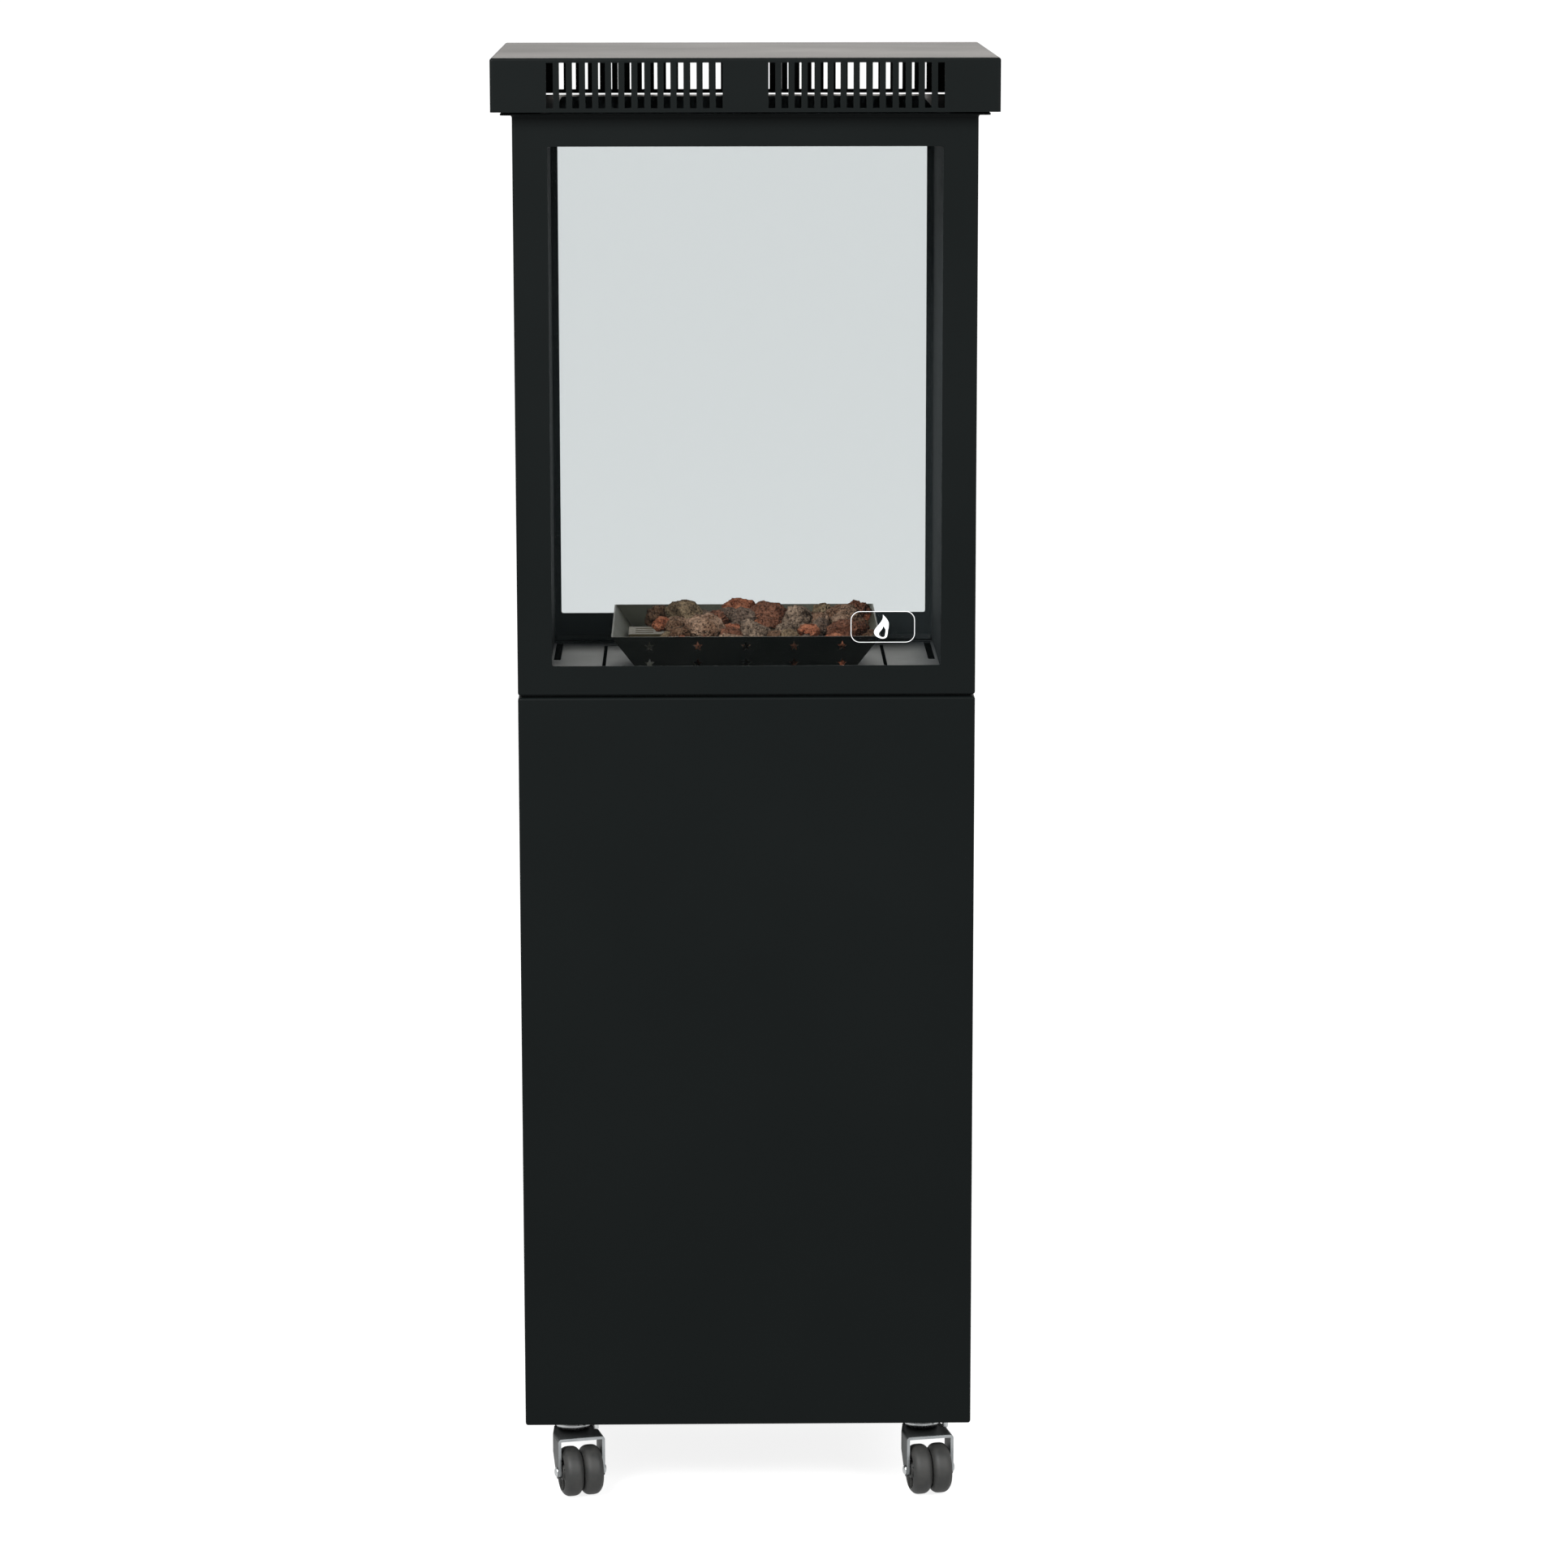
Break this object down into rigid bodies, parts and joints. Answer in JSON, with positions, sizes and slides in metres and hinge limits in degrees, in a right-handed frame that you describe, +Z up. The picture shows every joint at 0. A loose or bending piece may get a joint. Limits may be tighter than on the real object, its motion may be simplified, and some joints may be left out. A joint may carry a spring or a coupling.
{
  "type": "outdoor heater",
  "caption": "Free-standing gas flame heater: black steel bottle cabinet on swivel casters, glazed see-through fire chamber with lava rock tray, and a vented hood.",
  "frame": {"origin": "on the floor under the middle of the heater", "axes": "+Z up, front window faces -Y, +X to the viewer's right from the front"},
  "size_m": [0.49, 0.39, 1.45],
  "materials": {
    "powder_coat": "satin black powder coat, fine texture",
    "black_steel": "semi-gloss heat-resistant black paint",
    "window_glass": "clear tempered glass",
    "stainless": "brushed stainless, slightly heat-tinted",
    "brass": "machined brass",
    "black_plastic": "matte black moulded plastic",
    "ceramic": "glazed white ceramic",
    "lava_rock": "porous red-brown and grey lava rock",
    "zinc_steel": "bright zinc plate",
    "wheel_rubber": "matte dark grey tread"
  },
  "bodies": {
    "cabinet": {"lower_shell": "powder_coat", "base_plate": "powder_coat", "bottle_stop": "powder_coat", "rear_door_frame": "powder_coat", "control_panel": "powder_coat", "upper_shell": "powder_coat", "upper_rear_frame": "powder_coat", "top_plate": "powder_coat", "hood_shell": "powder_coat", "front_glass_rail": "black_steel", "rear_glass_rail": "black_steel", "liner_left": "black_steel", "liner_right": "black_steel", "chamber_floor": "black_steel", "burner_plate": "black_steel", "burner_tray": "black_steel", "hood_baffle": "black_steel", "hood_bracket_left": "black_steel", "hood_bracket_right": "black_steel", "front_glass": "window_glass", "rear_glass": "window_glass", "burner_box": "stainless", "supply_tube": "stainless", "sensor_bracket": "stainless", "gas_valve": "brass", "gas_inlet": "brass", "thermocouple": "brass", "igniter_module": "black_plastic", "tilt_switch": "black_plastic", "ignition_lead": "black_plastic", "spark_electrode": "ceramic", "lava_rock_bed": "lava_rock", "hinge_pin_top": "zinc_steel", "hinge_pin_bottom": "zinc_steel", "caster_plate_front_left": "zinc_steel", "caster_plate_front_right": "zinc_steel", "caster_plate_rear_left": "zinc_steel", "caster_plate_rear_right": "zinc_steel"},
    "door": {"rear_door": "powder_coat"},
    "latch": {"door_latch": "black_plastic"},
    "stem": {"valve_stem": "brass"},
    "knob": {"control_knob": "black_plastic"},
    "button": {"ignition_button": "black_plastic"},
    "swivel_front_left": {"caster_fork_front_left": "zinc_steel", "caster_axle_front_left": "zinc_steel"},
    "wheel_front_left_l": {"wheel_front_left_l": "wheel_rubber"},
    "wheel_front_left_r": {"wheel_front_left_r": "wheel_rubber"},
    "swivel_front_right": {"caster_fork_front_right": "zinc_steel", "caster_axle_front_right": "zinc_steel"},
    "wheel_front_right_l": {"wheel_front_right_l": "wheel_rubber"},
    "wheel_front_right_r": {"wheel_front_right_r": "wheel_rubber"},
    "swivel_rear_left": {"caster_fork_rear_left": "zinc_steel", "caster_axle_rear_left": "zinc_steel"},
    "wheel_rear_left_l": {"wheel_rear_left_l": "wheel_rubber"},
    "wheel_rear_left_r": {"wheel_rear_left_r": "wheel_rubber"},
    "swivel_rear_right": {"caster_fork_rear_right": "zinc_steel", "caster_axle_rear_right": "zinc_steel"},
    "wheel_rear_right_l": {"wheel_rear_right_l": "wheel_rubber"},
    "wheel_rear_right_r": {"wheel_rear_right_r": "wheel_rubber"}
  },
  "joints": [
    {"name": "door_hinge", "type": "hinge", "parent": "cabinet", "child": "door", "pos_m": [-0.1845, 0.166, 0.4], "axis": [0, 0, 1], "range_deg": [0, 110]},
    {"name": "latch_turn", "type": "hinge", "parent": "door", "child": "latch", "pos_m": [0.172, 0.1735, 0.4], "axis": [0, 1, 0], "range_deg": [0, 90]},
    {"name": "stem_push", "type": "slide", "parent": "cabinet", "child": "stem", "axis": [0, -1, 0], "range_m": [0, 0.004], "stiffness_N_per_m": 800},
    {"name": "knob_turn", "type": "hinge", "parent": "stem", "child": "knob", "pos_m": [-0.05, 0.177, 0.765], "axis": [0, 1, 0], "range_deg": [0, 180]},
    {"name": "button_push", "type": "slide", "parent": "cabinet", "child": "button", "axis": [0, -1, 0], "range_m": [0, 0.005], "stiffness_N_per_m": 600},
    {"name": "swivel_front_left", "type": "hinge", "parent": "cabinet", "child": "swivel_front_left", "pos_m": [-0.178, -0.122, 0.0615], "axis": [0, 0, 1], "continuous": true},
    {"name": "roll_front_left_l", "type": "hinge", "parent": "swivel_front_left", "child": "wheel_front_left_l", "pos_m": [-0.1705, -0.15208, 0.0254], "axis": [0.9703, 0.2419, 0], "continuous": true},
    {"name": "roll_front_left_r", "type": "hinge", "parent": "swivel_front_left", "child": "wheel_front_left_r", "pos_m": [-0.1705, -0.15208, 0.0254], "axis": [0.9703, 0.2419, 0], "continuous": true},
    {"name": "swivel_front_right", "type": "hinge", "parent": "cabinet", "child": "swivel_front_right", "pos_m": [0.178, -0.122, 0.0615], "axis": [0, 0, 1], "continuous": true},
    {"name": "roll_front_right_l", "type": "hinge", "parent": "swivel_front_right", "child": "wheel_front_right_l", "pos_m": [0.18391, -0.15243, 0.0254], "axis": [0.9816, 0.1908, 0], "continuous": true},
    {"name": "roll_front_right_r", "type": "hinge", "parent": "swivel_front_right", "child": "wheel_front_right_r", "pos_m": [0.18391, -0.15243, 0.0254], "axis": [0.9816, 0.1908, 0], "continuous": true},
    {"name": "swivel_rear_left", "type": "hinge", "parent": "cabinet", "child": "swivel_rear_left", "pos_m": [-0.178, 0.122, 0.0615], "axis": [0, 0, 1], "continuous": true},
    {"name": "roll_rear_left_l", "type": "hinge", "parent": "swivel_rear_left", "child": "wheel_rear_left_l", "pos_m": [-0.17315, 0.09138, 0.0254], "axis": [0.9877, 0.1564, 0], "continuous": true},
    {"name": "roll_rear_left_r", "type": "hinge", "parent": "swivel_rear_left", "child": "wheel_rear_left_r", "pos_m": [-0.17315, 0.09138, 0.0254], "axis": [0.9877, 0.1564, 0], "continuous": true},
    {"name": "swivel_rear_right", "type": "hinge", "parent": "cabinet", "child": "swivel_rear_right", "pos_m": [0.178, 0.122, 0.0615], "axis": [0, 0, 1], "continuous": true},
    {"name": "roll_rear_right_l", "type": "hinge", "parent": "swivel_rear_right", "child": "wheel_rear_right_l", "pos_m": [0.18654, 0.0922, 0.0254], "axis": [0.9613, 0.2756, 0], "continuous": true},
    {"name": "roll_rear_right_r", "type": "hinge", "parent": "swivel_rear_right", "child": "wheel_rear_right_r", "pos_m": [0.18654, 0.0922, 0.0254], "axis": [0.9613, 0.2756, 0], "continuous": true}
  ]
}
